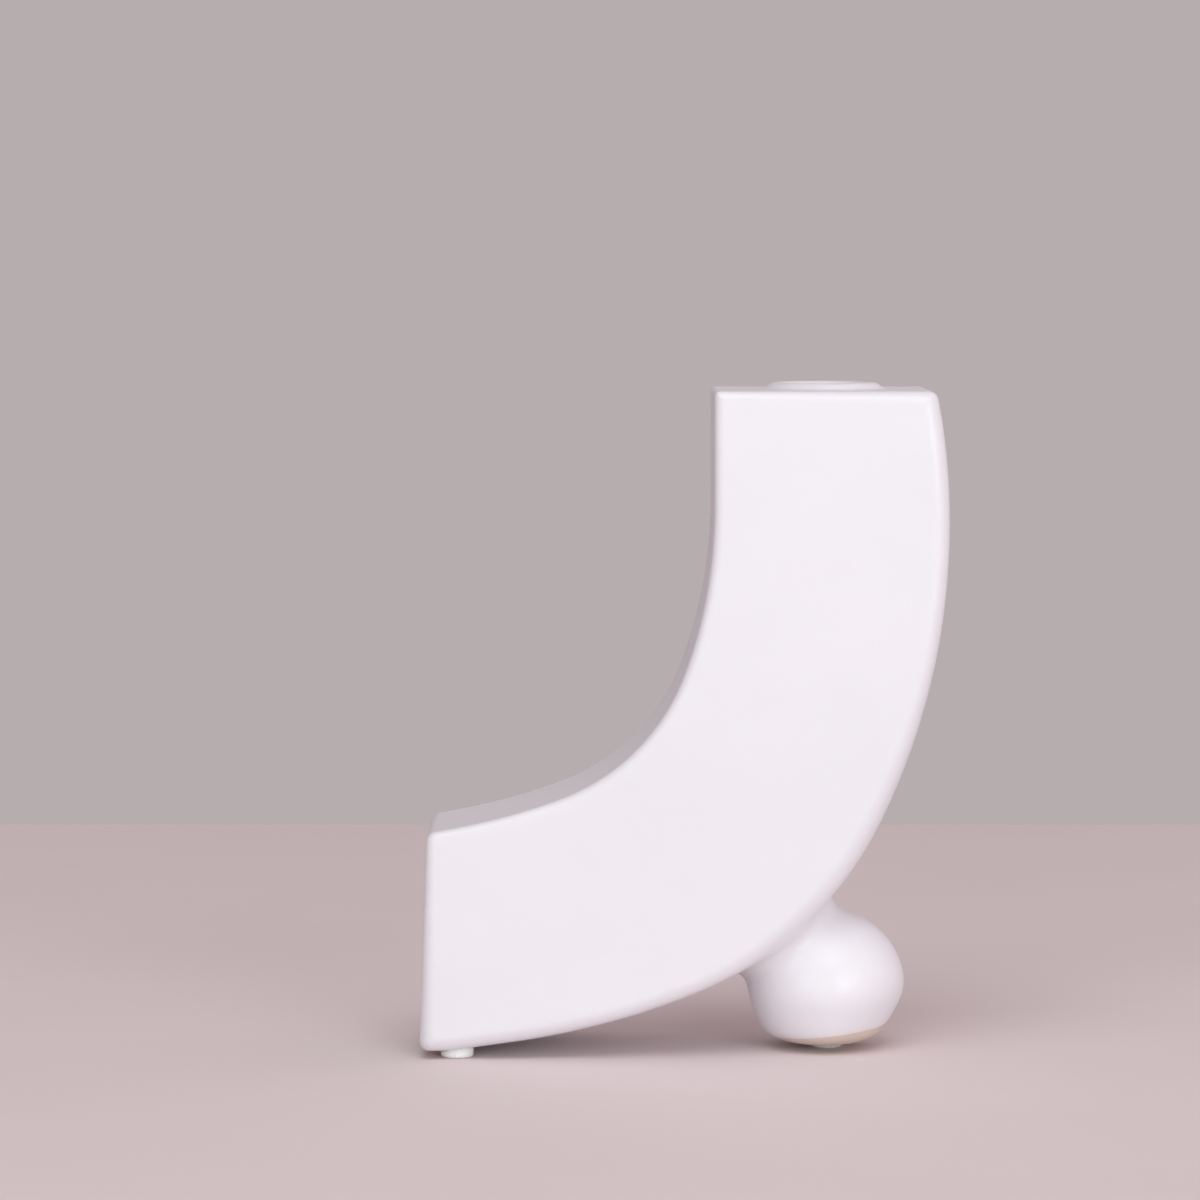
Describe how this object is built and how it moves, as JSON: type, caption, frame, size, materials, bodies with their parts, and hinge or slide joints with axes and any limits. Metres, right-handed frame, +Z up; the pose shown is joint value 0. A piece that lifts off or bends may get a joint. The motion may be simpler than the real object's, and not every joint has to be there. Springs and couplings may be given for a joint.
{
  "type": "curved ceramic vase",
  "caption": "Hollow glazed vase shaped as a thick J-shaped band, standing on its flat heel and on a small ball foot, with a round mouth on top.",
  "frame": {"origin": "on the table top, at the middle of the vase's bounding box in X and Y", "axes": "+Z up out of the mouth, +X from the flat heel towards the upright, -Y out of the flat front face"},
  "size_m": [0.1279, 0.045, 0.1633],
  "materials": {
    "glaze": "glossy white glaze",
    "bare_clay": "unglazed fired clay",
    "pad": "clear soft bumper"
  },
  "bodies": {
    "root": {"front_slab": "glaze", "rear_slab": "glaze", "inner_wall": "glaze", "outer_wall": "glaze", "end_wall": "glaze", "top_plate": "glaze", "mouth_rim": "glaze", "ball_foot": "glaze", "joint_coil": "glaze", "foot_disc": "bare_clay", "front_pad": "pad", "rear_pad": "pad", "ball_pad": "pad"}
  },
  "joints": []
}
